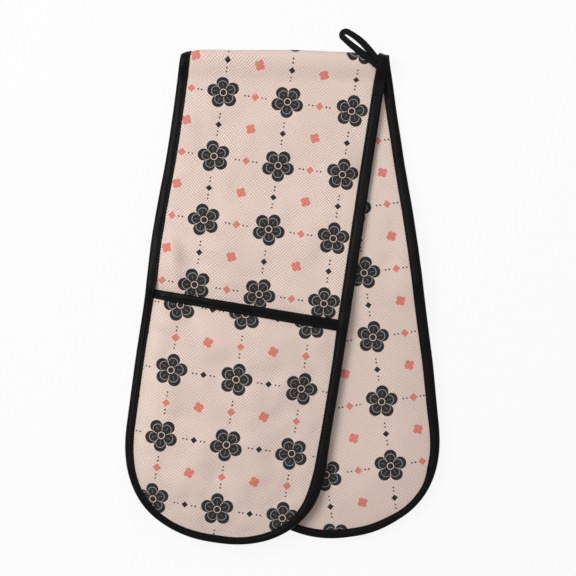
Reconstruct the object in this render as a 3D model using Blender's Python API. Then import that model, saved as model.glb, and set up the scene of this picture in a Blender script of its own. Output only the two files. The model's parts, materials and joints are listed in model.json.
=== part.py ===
"""Double oven glove: one long padded strip with a hand pocket sewn to each end.

The glove lies folded in half, as it is put away. The rear half lies on the table with its pocket
underneath. The front half lies on it with its pocket on top. The fold line runs along X at the far
end, and the two halves fan apart from it. Lengths are in metres and +Z is up.
"""

import math

import bmesh
import bpy
from mathutils import Vector

MM = 0.001

# The strip: how it is cut, and how it is folded
strip_width = 183.5 * MM
pocket_draw_in = 1.1 * MM
front_length = 436.5 * MM
rear_length = 432.0 * MM
end_depth = 92.0 * MM
end_fullness = 2.35
fan_angle = math.radians(8.05)
fold_radius = 5.8 * MM
corner_draw = 3.2 * MM
corner_run = 16.0 * MM
corner_fade = 34.0 * MM

# Layers of the strip and of the pockets, from the wadding outwards
cloth_thickness = 0.7 * MM
lining_thickness = 0.5 * MM
strip_wadding_thickness = 3.6 * MM
strip_wadding_sewn = 1.4 * MM
pocket_wadding_thickness = 2.6 * MM
pocket_wadding_sewn = 1.0 * MM
layer_gap = 0.3 * MM

# Bias tape that binds every edge
tape_thickness = 0.8 * MM
tape_leg = 9.0 * MM
mouth_tape_leg = 8.5 * MM
tape_corner_radius = 1.6 * MM
loft_run = 13.0 * MM

# Hand pockets
pocket_depth = 209.2 * MM
hand_gap = 5.5 * MM
crown_run = 26.0 * MM
panel_clearance = 0.8 * MM
margin_overhang = 0.2 * MM
mouth_side_lift = 1.2 * MM
mouth_ease_run = 16.0 * MM

# How the strip drapes between the fold and the pockets
air_between_halves = 0.9 * MM
fold_teardrop_run = 68.0 * MM
drape_run = 104.0 * MM
drape_lead = 40.0 * MM
tape_step_run = 12.0 * MM
tape_step_lead = 2.5 * MM

# The fold opens at two lines, one on each side of the crease
fold_line_angle = math.radians(45.0)
fold_line_gap = 0.3 * MM
fold_line_margin = 0.1 * MM

# Hanging loop, and the tape end that is sewn down over it
loop_tape_width = 6.2 * MM
loop_tape_width_at_bight = 5.2 * MM
loop_tape_thickness = 1.8 * MM
loop_length = 38.0 * MM
loop_root_spacing = 6.6 * MM
loop_mid_spacing = 8.3 * MM
loop_bight_radius = 3.0 * MM
loop_bow = 1.1 * MM
loop_rise = 1.6 * MM
loop_lean = math.radians(140.0)
loop_root_distance = 11.2 * MM
loop_root_clearance = 2.0 * MM
tail_start = 5.3 * MM
tail_length = 35.0 * MM
tail_overhang = 0.3 * MM
tail_thickness = 1.3 * MM

# How finely the shapes are cut
bend_steps = 3
band_steps = 6
drape_row_shares = (0.0, 0.07, 0.14, 0.21, 0.29, 0.37, 0.45, 0.53, 0.61, 0.68, 0.75, 0.82, 0.9, 1.0)
crown_ring_shares = (0.0, 0.25, 0.58, 1.0)
tail_row_shares = (0.0, 0.06, 0.12, 0.3, 0.65, 1.0)
end_steps = 10
loop_leg_steps = 7
loop_bight_steps = 8
weld_distance = 0.002 * MM

# Worked out from the sizes above
arc_length = fold_radius * math.pi / 2
drape_end = min(front_length, rear_length) - pocket_depth - drape_lead
drape_start = drape_end - drape_run
sewn_half = strip_wadding_sewn / 2 + layer_gap + cloth_thickness
full_half = strip_wadding_thickness / 2 + layer_gap + cloth_thickness
margin_thickness = lining_thickness + pocket_wadding_sewn + cloth_thickness + 2 * layer_gap
panel_thickness = lining_thickness + pocket_wadding_thickness + cloth_thickness + 2 * layer_gap
tape_build = layer_gap + tape_thickness
panel_inset = tape_leg + panel_clearance
panel_edge_height = sewn_half + layer_gap + margin_thickness
panel_crown_height = full_half + hand_gap + panel_thickness
fold_height = fold_radius + full_half
inner_radius = fold_radius - full_half
hinge_radius = fold_radius + full_half + fold_line_margin

STRIP_INSETS = (tape_build, tape_leg, tape_leg + loft_run)
SIDES = {"rear": 1, "front": -1}
LENGTHS = {"rear": rear_length, "front": front_length}


def smooth(share):
    """Ease from 0 to 1, flat at both ends."""
    t = min(max(share, 0.0), 1.0)
    return t * t * (3 - 2 * t)


def smooth_slope(share):
    """Slope of smooth."""
    return 6 * share * (1 - share) if 0 < share < 1 else 0.0


def mix(a, b, share):
    return a + (b - a) * share


def mouth_distance(half):
    """From the crease to the mouth of a half's pocket."""
    return LENGTHS[half] - pocket_depth


def half_width_at(half, along):
    """Half the strip's width, which the pocket's padding draws in."""
    return strip_width / 2 - pocket_draw_in * smooth(abs(along) / mouth_distance(half))


def drape(half, run):
    """Height of the strip's middle, and its slope, at a distance from the fold."""
    climb = panel_crown_height - full_half
    height = full_half + climb * smooth((run - drape_start) / drape_run)
    slope = climb * smooth_slope((run - drape_start) / drape_run) / drape_run
    if half == "front":
        fold_air = 2 * inner_radius - air_between_halves
        height += 2 * full_half + air_between_halves
        height += fold_air * (1 - smooth(run / fold_teardrop_run))
        slope -= fold_air * smooth_slope(run / fold_teardrop_run) / fold_teardrop_run
    return height, slope


def place(half, across, along, out):
    """The point of a half at across and along the strip, out from its middle on the pocket side.

    The strip meets the fold line at the fan angle, so its edges wind round the fold. The fold is
    tighter at its two corners, where the edge tape draws it back.
    """
    side = SIDES[half]
    x = side * along * math.sin(fan_angle) + across * math.cos(fan_angle)
    from_fold = along * math.cos(fan_angle) - side * across * math.sin(fan_angle)
    edge_share = smooth((abs(across) - strip_width / 2 + corner_run) / corner_run)
    drawn = corner_draw * edge_share * (1 - smooth(abs(from_fold) / corner_fade))
    if from_fold < arc_length:
        turn = -side * from_fold / fold_radius
        reach = fold_radius + out
        return Vector((x, reach * math.cos(turn) - drawn, fold_height + reach * math.sin(turn)))
    run = from_fold - arc_length
    height, slope = drape(half, run)
    tilt = math.hypot(1, slope)
    return Vector((x, -run - drawn - side * out * slope / tilt, height - side * out / tilt))


def row_point(half, row, inset, edge):
    """Across and along of a row's point at an inset from the edge: edge is -1 left, 1 right."""
    kind, value = row
    if kind == "end":
        power = 2 / end_fullness
        reach = half_width_at(half, LENGTHS[half]) - inset
        across = edge * reach * abs(math.cos(value)) ** power
        along = LENGTHS[half] - end_depth + (end_depth - inset) * math.sin(value) ** power
        return across, along
    across = edge * (half_width_at(half, value) - inset)
    if kind == "straight":
        return across, value
    slant = SIDES[half] * across * math.sin(fan_angle)
    return across, (value + slant) / math.cos(fan_angle)


def end_rows():
    return [("end", math.pi / 2 * i / end_steps) for i in range(end_steps + 1)]


def bend_rows():
    """Rows on the part of the fold that belongs to a half."""
    first = fold_line_angle + fold_line_gap / 2 / inner_radius
    turns = [mix(first, math.pi / 2, i / bend_steps) for i in range(bend_steps)]
    return [("slanted", fold_radius * turn) for turn in turns]


def tape_step(half):
    """Where the edge tape starts and stops widening to take in the pocket."""
    end = mouth_distance(half) - tape_step_lead
    return end - tape_step_run, end


def strip_rows(half):
    slanted = [("slanted", arc_length + drape_end * share) for share in drape_row_shares]
    straight = [("straight", along) for along in tape_step(half)]
    return bend_rows() + slanted + straight + end_rows()


def band_rows():
    last = fold_line_angle - fold_line_gap / 2 / inner_radius
    turns = [mix(-last, last, i / band_steps) for i in range(band_steps + 1)]
    return [("slanted", fold_radius * turn) for turn in turns]


def pocket_rows(half, lead):
    """Straight rows from a lead inside a pocket's mouth, then the rounded end."""
    leads = (lead, mouth_tape_leg, mouth_tape_leg + mouth_ease_run)
    return [("straight", mouth_distance(half) + lead) for lead in leads] + end_rows()


def strip_wadding_half(inset):
    loft = min(max((inset - tape_leg) / loft_run, 0.0), 1.0)
    return mix(strip_wadding_sewn, strip_wadding_thickness, loft) / 2


def mouth_share(depth):
    """1 under the mouth's tape, falling to 0 deeper in, where the panel has its full shape."""
    return 1 - smooth((depth - mouth_tape_leg) / mouth_ease_run)


def panel_outside(inset, depth):
    """Height of a pocket panel's outer face above the strip's middle, at a depth from the mouth."""
    crown = smooth((inset - panel_inset) / crown_run)
    plain = mix(panel_edge_height, panel_crown_height, crown)
    bound_low = panel_edge_height + mouth_side_lift
    bound = mix(bound_low, panel_crown_height - tape_build, crown)
    return mix(plain, bound, mouth_share(depth))


def panel_inside(inset, depth):
    """Height of a pocket panel's inner face above the strip's middle, at a depth from the mouth."""
    crown = smooth((inset - panel_inset) / crown_run)
    plain = mix(margin_thickness, panel_thickness, crown)
    return panel_outside(inset, depth) - mix(plain, margin_thickness, mouth_share(depth))


def join_sheets(bm, lower, upper, closed_ends):
    """Faces of a slab between two grids of vertices, with walls on its open borders."""
    rows, columns = len(lower), len(lower[0])
    for sheet in (lower, upper):
        for i in range(rows - 1):
            for k in range(columns - 1):
                bm.faces.new((sheet[i][k], sheet[i][k + 1], sheet[i + 1][k + 1], sheet[i + 1][k]))
    for k in (0, columns - 1):
        for i in range(rows - 1):
            bm.faces.new((lower[i][k], lower[i + 1][k], upper[i + 1][k], upper[i][k]))
    for i in closed_ends:
        for k in range(columns - 1):
            bm.faces.new((lower[i][k], lower[i][k + 1], upper[i][k + 1], upper[i][k]))


def make_object(name, bm, colour, roughness, pivot=None):
    """A named object from a mesh, hung from its joint's empty where it moves."""
    bmesh.ops.remove_doubles(bm, verts=bm.verts, dist=weld_distance)
    bmesh.ops.recalc_face_normals(bm, faces=bm.faces)
    bmesh.ops.translate(bm, verts=bm.verts, vec=-pivot_place(pivot))
    mesh = bpy.data.meshes.new(name)
    bm.to_mesh(mesh)
    bm.free()
    mesh.shade_smooth()
    mesh.set_sharp_from_angle(angle=math.radians(40))
    material = bpy.data.materials.new(name)
    material.use_nodes = True
    shader = material.node_tree.nodes["Principled BSDF"]
    shader.inputs["Base Color"].default_value = (*colour, 1.0)
    shader.inputs["Roughness"].default_value = roughness
    shader.inputs["Metallic"].default_value = 0.0
    mesh.materials.append(material)
    thing = bpy.data.objects.new(name, mesh)
    bpy.context.scene.collection.objects.link(thing)
    thing.parent = pivot
    return thing


def slab(name, half, rows, insets, heights, finish, pivot=None):
    """A padded layer: a sheet over the strip's outline, from one height to another."""
    columns = [(inset, -1) for inset in insets] + [(inset, 1) for inset in reversed(insets)]
    bm = bmesh.new()
    sheets = []
    for level in (0, 1):
        sheet = []
        for row in rows:
            points = [row_point(half, row, inset, edge) for inset, edge in columns]
            line = []
            for (across, along), (inset, _) in zip(points, columns):
                out = heights(inset, along - mouth_distance(half))[level]
                line.append(bm.verts.new(place(half, across, along, out)))
            sheet.append(line)
        sheets.append(sheet)
    ends = (0,) if rows[-1][0] == "end" else (0, len(rows) - 1)
    join_sheets(bm, sheets[0], sheets[1], ends)
    return make_object(name, bm, *finish, pivot)


def sweep(name, half, stations, section, finish, pivot=None):
    """A strip of constant make along an edge: section gives its inset and height outline."""
    loops = []
    bm = bmesh.new()
    for row, edge in stations:
        _, outer_along = row_point(half, row, 0.0, edge)
        loop = []
        for inset, out in section(outer_along - mouth_distance(half)):
            across, along = row_point(half, row, inset, edge)
            loop.append(bm.verts.new(place(half, across, along, out)))
        loops.append(loop)
    bridge(bm, loops)
    return make_object(name, bm, *finish, pivot)


def bridge(bm, loops):
    """Skin over a run of equal loops, with both ends capped."""
    count = len(loops[0])
    for first, second in zip(loops, loops[1:]):
        for k in range(count):
            n = (k + 1) % count
            bm.faces.new((first[k], first[n], second[n], second[k]))
    bm.faces.new(loops[0])
    bm.faces.new(list(reversed(loops[-1])))


def round_the_end(rows):
    """Stations down the left edge, round the tip and back up the right edge."""
    return [(row, -1) for row in rows] + [(row, 1) for row in reversed(rows[:-1])]


def folded_tape(leg, top, bottom):
    """Outline of a tape folded over an edge: a C open towards the cloth."""
    bulge = tape_corner_radius * (1 - math.sqrt(0.5))
    high, low = top + tape_build, bottom - tape_build
    outside = [
        (leg, high),
        (tape_corner_radius, high),
        (bulge, high - bulge),
        (0.0, high - tape_corner_radius),
        (0.0, low + tape_corner_radius),
        (bulge, low + bulge),
        (tape_corner_radius, low),
        (leg, low),
    ]
    inside = [
        (leg, bottom - layer_gap),
        (tape_thickness, bottom - layer_gap),
        (tape_thickness, top + layer_gap),
        (leg, top + layer_gap),
    ]
    return outside + inside


def edge_tape_section(depth):
    """The edge tape is folded over the strip alone, and over strip and pocket further on."""
    step = smooth((depth + tape_step_lead + tape_step_run) / tape_step_run)
    return folded_tape(tape_leg, mix(sewn_half, panel_edge_height, step), -sewn_half)


def margin_section(depth):
    """The pocket's three layers, sewn flat where the edge tape holds them."""
    low, inner_edge = sewn_half + layer_gap, tape_leg + margin_overhang
    return [
        (tape_build, low),
        (inner_edge, low),
        (inner_edge, low + margin_thickness),
        (tape_build, low + margin_thickness),
    ]


def outer_cover_heights(inset, depth):
    inside = strip_wadding_half(inset) + layer_gap
    return inside, inside + cloth_thickness


def inner_cover_heights(inset, depth):
    near, far = outer_cover_heights(inset, depth)
    return -far, -near


def wadding_heights(inset, depth):
    return -strip_wadding_half(inset), strip_wadding_half(inset)


def pocket_cover_heights(inset, depth):
    outside = panel_outside(inset, depth)
    return outside - cloth_thickness, outside


def pocket_lining_heights(inset, depth):
    inside = panel_inside(inset, depth)
    return inside, inside + lining_thickness


def pocket_wadding_heights(inset, depth):
    low = panel_inside(inset, depth) + lining_thickness + layer_gap
    return low, panel_outside(inset, depth) - cloth_thickness - layer_gap


PRINT_CLOTH = ((0.74, 0.60, 0.53), 0.85)
WADDING = ((0.80, 0.79, 0.76), 0.95)
LINING = ((0.55, 0.50, 0.47), 0.9)
BLACK_TAPE = ((0.012, 0.012, 0.013), 0.6)


def build_half(half, pivot):
    """The strip's layers, its edge tape and the pocket's sewn margin, for one half."""
    rows = strip_rows(half)
    slab(f"{half}_strip_outer_cover", half, rows, STRIP_INSETS, outer_cover_heights, PRINT_CLOTH, pivot)
    slab(f"{half}_strip_wadding", half, rows, STRIP_INSETS, wadding_heights, WADDING, pivot)
    slab(f"{half}_strip_inner_cover", half, rows, STRIP_INSETS, inner_cover_heights, PRINT_CLOTH, pivot)
    stations = round_the_end(rows)
    sweep(f"{half}_edge_binding", half, stations, edge_tape_section, BLACK_TAPE, pivot)
    stations = round_the_end(pocket_rows(half, 0))
    sweep(f"{half}_pocket_seam_margin", half, stations, margin_section, LINING, pivot)


def build_pocket(half, pivot):
    """The pocket's free panel and the tape along its mouth."""
    rows = pocket_rows(half, tape_build)
    insets = [panel_inset + crown_run * share for share in crown_ring_shares]
    slab(f"{half}_pocket_cover", half, rows, insets, pocket_cover_heights, PRINT_CLOTH, pivot)
    slab(f"{half}_pocket_wadding", half, rows, insets, pocket_wadding_heights, WADDING, pivot)
    slab(f"{half}_pocket_lining", half, rows, insets, pocket_lining_heights, LINING, pivot)
    columns = [(inset, -1) for inset in insets] + [(inset, 1) for inset in reversed(insets)]
    bm = bmesh.new()
    loops = []
    for inset, edge in columns:
        loop = []
        for depth, out in folded_tape(mouth_tape_leg, panel_outside(inset, 0), panel_inside(inset, 0)):
            across, along = row_point(half, ("straight", mouth_distance(half) + depth), inset, edge)
            loop.append(bm.verts.new(place(half, across, along, out)))
        loops.append(loop)
    bridge(bm, loops)
    make_object(f"{half}_mouth_binding", bm, *BLACK_TAPE, pivot)


def build_fold(pivot):
    """The band of strip that wraps round the crease between the two fold lines."""
    rows = band_rows()
    slab("fold_outer_cover", "rear", rows, STRIP_INSETS, outer_cover_heights, PRINT_CLOTH, pivot)
    slab("fold_wadding", "rear", rows, STRIP_INSETS, wadding_heights, WADDING, pivot)
    slab("fold_inner_cover", "rear", rows, STRIP_INSETS, inner_cover_heights, PRINT_CLOTH, pivot)
    for label, edge in (("left", -1), ("right", 1)):
        stations = [(row, edge) for row in rows]
        sweep(f"fold_binding_{label}", "rear", stations, edge_tape_section, BLACK_TAPE, pivot)


def loop_root():
    """Where the loop leaves the sewn-down tape end, at its middle."""
    inset = tape_leg + tail_overhang + loop_root_clearance
    height = full_half + layer_gap + loop_tape_thickness / 2
    return place("front", *row_point("front", ("slanted", loop_root_distance), inset, 1), height)


def strip_direction():
    """Along the front half, towards the fold."""
    return Vector((math.sin(fan_angle), math.cos(fan_angle), 0.0))


def loop_path():
    """Middle line of the looped tape, from one sewn end round the bight to the other."""
    lead = Vector((math.cos(loop_lean), math.sin(loop_lean), 0.0))
    side = Vector((math.sin(loop_lean), -math.cos(loop_lean), 0.0))
    leg = loop_length - loop_bight_radius
    root = loop_root()
    legs = []
    for i in range(loop_leg_steps):
        share = i / loop_leg_steps
        spread = mix(loop_root_spacing / 2, loop_bight_radius, share)
        spread += (loop_mid_spacing - loop_root_spacing) / 2 * math.sin(math.pi * share)
        legs.append((leg * share, spread))
    turns = [math.pi * i / loop_bight_steps for i in range(loop_bight_steps + 1)]
    bight = [
        (leg + loop_bight_radius * math.sin(turn), loop_bight_radius * math.cos(turn)) for turn in turns
    ]
    back = [(ahead, -spread) for ahead, spread in reversed(legs)]
    points = []
    for ahead, spread in legs + bight + back:
        share = ahead / loop_length
        bow = loop_bow * math.sin(math.pi * share)
        rise = Vector((0.0, 0.0, loop_rise * smooth(share)))
        points.append(root + lead * ahead + side * (spread + bow) + rise)
    return points


def loop_outline(share):
    """Cross-section of the loop's tape, which bunches narrower towards the bight."""
    half_flat = mix(loop_tape_width, loop_tape_width_at_bight, smooth(share)) / 2
    half_thick = loop_tape_thickness / 2
    corner = half_thick * math.sqrt(0.5)
    flat = half_flat - half_thick
    right = [(flat, half_thick), (flat + corner, corner), (half_flat, 0.0), (flat + corner, -corner)]
    left = [(-across, -out) for across, out in right]
    return right + [(flat, -half_thick)] + left + [(-flat, half_thick)]


def build_loop(pivot):
    """Bias tape folded over itself and turned back into a hanging loop."""
    points = loop_path()
    seam = strip_direction()
    away = Vector((-seam.y, seam.x, 0.0))
    root = loop_root()
    bm = bmesh.new()
    loops = []
    for i, point in enumerate(points):
        before, after = points[max(i - 1, 0)], points[min(i + 1, len(points) - 1)]
        run = (after - before).normalized()
        level = run.cross(Vector((0.0, 0.0, 1.0))).normalized()
        up = level.cross(run)
        loop = []
        for across, out in loop_outline((point - root).length / loop_length):
            corner = point + level * across + up * out
            if i in (0, len(points) - 1):
                corner -= run * (corner - root).dot(away) / run.dot(away)
            loop.append(bm.verts.new(corner))
        loops.append(loop)
    bridge(bm, loops)
    make_object("hanging_loop", bm, *BLACK_TAPE, pivot)


def build_tail(pivot):
    """The end of the edge tape, sewn down over the binding where the loop starts."""
    bm = bmesh.new()
    low = full_half + layer_gap
    loops = []
    for share in tail_row_shares:
        from_fold = tail_start + tail_length * share
        loop = []
        for inset, out in (
            (0.0, low),
            (tape_leg + tail_overhang, low),
            (tape_leg + tail_overhang, low + tail_thickness),
            (0.0, low + tail_thickness),
        ):
            across, along = row_point("front", ("slanted", from_fold), inset, 1)
            loop.append(bm.verts.new(place("front", across, along, out)))
        loops.append(loop)
    bridge(bm, loops)
    make_object("loop_tape_end", bm, *BLACK_TAPE, pivot)


def pivot_place(pivot):
    """Place of a joint's empty in the fold's own frame, or the origin where there is none."""
    at = Vector((0.0, 0.0, 0.0))
    while pivot is not None:
        at += pivot.location
        pivot = pivot.parent
    return at


def make_pivot(name, at, parent=None):
    """An empty on a joint's axis."""
    pivot = bpy.data.objects.new(name, None)
    bpy.context.scene.collection.objects.link(pivot)
    pivot.parent = parent
    pivot.location = at - pivot_place(parent)
    return pivot


def fold_line(sign):
    """A point on one of the two lines where the fold opens: -1 lower, 1 upper."""
    turn = sign * fold_line_angle
    return Vector((0.0, hinge_radius * math.cos(turn), fold_height + hinge_radius * math.sin(turn)))


def pocket_line(half):
    """Middle of the line at the fingertips that a pocket's panel opens about."""
    return place(half, 0.0, LENGTHS[half] - panel_inset, panel_edge_height - margin_thickness)


def centre_on_origin():
    """Stand the glove on the origin, centred in plan."""
    bpy.context.view_layer.update()
    things = bpy.data.objects
    meshes = [thing for thing in things if thing.type == "MESH"]
    corners = [thing.matrix_world @ vertex.co for thing in meshes for vertex in thing.data.vertices]
    low = [min(corner[axis] for corner in corners) for axis in range(3)]
    high = [max(corner[axis] for corner in corners) for axis in range(3)]
    shift = Vector((-(low[0] + high[0]) / 2, -(low[1] + high[1]) / 2, -low[2]))
    for thing in things:
        if thing.parent is None:
            thing.location += shift


def build_glove():
    for thing in list(bpy.data.objects):
        bpy.data.objects.remove(thing)
    build_half("rear", None)
    build_pocket("rear", make_pivot("rear_pocket_line", pocket_line("rear")))
    lower = make_pivot("lower_fold_line", fold_line(-1))
    build_fold(lower)
    upper = make_pivot("upper_fold_line", fold_line(1), lower)
    build_half("front", upper)
    build_pocket("front", make_pivot("front_pocket_line", pocket_line("front"), upper))
    build_tail(upper)
    build_loop(make_pivot("loop_seam", loop_root(), upper))
    centre_on_origin()


build_glove()
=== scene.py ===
import json
import math

import bmesh
import bpy
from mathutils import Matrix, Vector, noise


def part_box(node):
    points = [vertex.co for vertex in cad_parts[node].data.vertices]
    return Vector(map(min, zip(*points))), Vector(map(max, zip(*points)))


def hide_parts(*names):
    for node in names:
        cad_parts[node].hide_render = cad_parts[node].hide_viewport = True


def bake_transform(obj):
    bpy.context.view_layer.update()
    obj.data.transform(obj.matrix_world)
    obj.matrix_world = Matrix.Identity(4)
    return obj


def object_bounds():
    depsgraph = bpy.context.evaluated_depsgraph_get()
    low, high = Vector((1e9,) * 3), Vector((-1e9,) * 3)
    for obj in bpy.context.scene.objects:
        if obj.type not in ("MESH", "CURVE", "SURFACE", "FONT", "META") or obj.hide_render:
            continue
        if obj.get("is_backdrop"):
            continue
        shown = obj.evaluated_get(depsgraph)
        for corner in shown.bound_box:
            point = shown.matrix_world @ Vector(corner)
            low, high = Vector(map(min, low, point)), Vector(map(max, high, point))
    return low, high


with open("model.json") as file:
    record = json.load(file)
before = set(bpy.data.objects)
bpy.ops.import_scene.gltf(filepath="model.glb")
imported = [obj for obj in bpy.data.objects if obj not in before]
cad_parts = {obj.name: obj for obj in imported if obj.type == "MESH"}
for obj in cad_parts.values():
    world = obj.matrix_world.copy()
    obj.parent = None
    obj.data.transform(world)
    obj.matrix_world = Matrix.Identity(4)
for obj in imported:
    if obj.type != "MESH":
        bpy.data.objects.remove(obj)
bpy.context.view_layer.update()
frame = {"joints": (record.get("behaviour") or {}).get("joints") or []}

# Strip, outer cover. Printed cotton, on the face that the pockets are sewn to: one long cut with
# rounded ends, which lies folded in half and fanned. It is made as two lengths that meet in the middle
# of the fold, each rounded over its own half of the fold.
MM = 0.001
strip_width = 183.5 * MM
pocket_draw_in = 1.1 * MM
strip_lengths = {"rear": 432.0 * MM, "front": 436.5 * MM}
sides = {"rear": 1, "front": -1}
end_depth = 92.0 * MM
end_fullness = 2.35
fold_radius = 5.8 * MM
corner_draw = 2.9 * MM
corner_run = 16.0 * MM
corner_fade = 34.0 * MM
right_droop = 2.1 * MM
right_droop_run = 72.0 * MM
mouth_tilt = {"rear": 0.0, "front": 0.0192}
cloth_thickness = 0.7 * MM
layer_gap = 0.3 * MM
wadding_full_half = 1.8 * MM
wadding_sewn_half = 0.7 * MM
loft_lead = 0.9 * MM
loft_run = 4.6 * MM
pocket_depth = 209.2 * MM
panel_crown_height = 12.7 * MM
air_between_halves = 0.9 * MM
fold_teardrop_run = 21.0 * MM
drape_run = 104.0 * MM
drape_lead = 40.0 * MM
slant_kept = 70.0 * MM
slant_fade = 120.0 * MM
bend_steps = 22
station_step = 2.6 * MM
cap_steps = 54
columns = 30
column_crowding = 1.45
cover_first_inset = 1.4 * MM
weld_distance = 0.001 * MM

joints = {joint["name"]: joint for joint in frame["joints"]}
lower_line = Vector(joints["lower_fold"]["pos_m"])
upper_line = Vector(joints["upper_fold"]["pos_m"])
band_low, band_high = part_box("fold_outer_cover")
fold_centre = Vector((
    (band_low.x + band_high.x) / 2,
    lower_line.y - (upper_line.z - lower_line.z) / 2,
    (lower_line.z + upper_line.z) / 2,
))
fan_angle = math.asin(-joints["front_pocket_mouth"]["axis"][1])
full_half = wadding_full_half + layer_gap + cloth_thickness
sewn_half = wadding_sewn_half + layer_gap + cloth_thickness
arc_length = fold_radius * math.pi / 2
bend_end = arc_length / math.cos(fan_angle)
drape_start = min(strip_lengths.values()) - pocket_depth - drape_lead - drape_run


def smooth(share):
    """Ease from 0 to 1, flat at both ends."""
    t = min(max(share, 0.0), 1.0)
    return t * t * (3 - 2 * t)


def smooth_slope(share):
    return 6 * share * (1 - share) if 0 < share < 1 else 0.0


def mix(a, b, share):
    return a + (b - a) * share


def cloud(x, y, size, seed):
    """Soft uneven swelling from -1 to 1, with lumps of a given size."""
    return noise.noise(Vector((x / size, y / size, seed)))


def mouth_distance(half):
    """From the crease to the mouth of a half's pocket."""
    return strip_lengths[half] - pocket_depth


def mouth_line(half, across):
    """From the crease to the mouth, which is sewn on a little askew."""
    return mouth_distance(half) + mouth_tilt[half] * across


def half_width_at(half, along):
    """Half the strip's width, which the sewn pocket draws in a little."""
    return strip_width / 2 - pocket_draw_in * smooth(abs(along) / mouth_distance(half))


def drape(half, run):
    """Height of the strip's middle, and its slope, at a distance from the fold."""
    climb = panel_crown_height - full_half
    share = (run - drape_start) / drape_run
    height = full_half + climb * smooth(share)
    slope = climb * smooth_slope(share) / drape_run
    if half == "front":
        fold_air = 2 * (fold_radius - full_half) - air_between_halves
        height += 2 * full_half + air_between_halves
        height += fold_air * (1 - smooth(run / fold_teardrop_run))
        slope -= fold_air * smooth_slope(run / fold_teardrop_run) / fold_teardrop_run
    return height, slope


def soft_fold(across, along, fold):
    """Height of one soft fold of the cloth: a crest that runs at a turn from the crosswise way."""
    way = math.radians(fold["turn"])
    x, y = across - fold["across"] * MM, along - fold["along"] * MM
    ahead = (x * math.cos(way) + y * math.sin(way)) / (fold["reach"] * MM)
    beside = (y * math.cos(way) - x * math.sin(way)) / (fold["spread"] * MM)
    return fold["rise"] * MM * math.exp(-ahead * ahead - beside * beside)


strip_folds = (
    {"across": -73, "along": 163, "turn": 12, "reach": 26, "spread": 6.5, "rise": 2.6},
    {"across": -69, "along": 198, "turn": 76, "reach": 20, "spread": 6.5, "rise": 3.8},
    {"across": -56, "along": 189, "turn": 40, "reach": 30, "spread": 8.0, "rise": -3.2},
    {"across": -38, "along": 176, "turn": 52, "reach": 26, "spread": 8.0, "rise": 2.2},
    {"across": -10, "along": 193, "turn": 14, "reach": 50, "spread": 9.0, "rise": 1.8},
    {"across": 10, "along": 211, "turn": 4, "reach": 60, "spread": 6.0, "rise": 1.6},
    {"across": 61, "along": 203, "turn": -30, "reach": 18, "spread": 9.0, "rise": -1.2},
)


limp_rise = 2.6 * MM
limp_lump = 34.0 * MM
limp_crinkle = 15.0 * MM
limp_lead = 22.0 * MM
limp_run = 50.0 * MM
held_lead = 6.0 * MM
held_run = 26.0 * MM
held_share = 0.8


def limpness(half, x, from_fold, across, along):
    """How far the limp cloth rises from its even drape, the two halves together."""
    swell = 0.55 + 1.1 * cloud(x, from_fold, limp_lump, 3.1) + 0.35 * cloud(x, from_fold, limp_crinkle, 6.1)
    rise = limp_rise * max(swell, 0.0)
    if half == "front":
        rise += sum(soft_fold(across, along, fold) for fold in strip_folds)
    past_pocket = smooth((along - mouth_distance(half) + held_lead) / held_run)
    return rise * smooth((from_fold - limp_lead) / limp_run) * (1 - held_share * past_pocket)


sag_depth = 4.0 * MM
sag_run = 42.0 * MM
sag_lead = 20.0 * MM
sag_ease = 90.0 * MM


def edge_sag(half, across, along):
    """How far a half's rounded end hangs down round its edge. The front one is held up at its right."""
    half_width = strip_width / 2 - pocket_draw_in
    past = max(along - strip_lengths[half] + end_depth, 0.0) / end_depth
    share = ((abs(across) / half_width) ** end_fullness + past ** end_fullness) ** (1 / end_fullness)
    hang = sag_depth * (1 - smooth((1 - share) * half_width / sag_run))
    hang *= smooth((along - mouth_distance(half) + sag_lead) / sag_ease)
    return hang * smooth(0.35 - across / strip_width) if half == "front" else hang


table_gap = 0.05 * MM


def place(half, across, along, out):
    """The point of a half at across and along the strip, out from its middle on the pocket side."""
    side = sides[half]
    x = side * along * math.sin(fan_angle) + across * math.cos(fan_angle)
    from_fold = along * math.cos(fan_angle) - side * across * math.sin(fan_angle)
    edge_share = smooth((abs(across) - strip_width / 2 + corner_run) / corner_run)
    drawn = corner_draw * edge_share + right_droop * smooth(across / right_droop_run)
    drawn *= 1 - smooth(abs(from_fold) / corner_fade)
    if from_fold < arc_length:
        turn = from_fold / fold_radius
        reach = fold_radius + out
        y = reach * math.cos(turn) - drawn
        z = fold_centre.z - side * reach * math.sin(turn)
    else:
        run = from_fold - arc_length
        height, slope = drape(half, run)
        tilt = math.hypot(1, slope)
        y = -run - drawn - side * out * slope / tilt
        z = height + limpness(half, x, from_fold, across, along) - side * out / tilt
        z -= edge_sag(half, across, along)
    z = max(z, table_gap)
    return Vector((fold_centre.x + x, fold_centre.y + y, z))


def along_stops(stops, run):
    """A value in millimetres at a run along an edge, eased between its stops."""
    for (start, low), (end, high) in zip(stops, stops[1:]):
        if run < end * MM:
            return mix(low, high, smooth((run - start * MM) / ((end - start) * MM))) * MM
    return stops[-1][1] * MM


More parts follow.
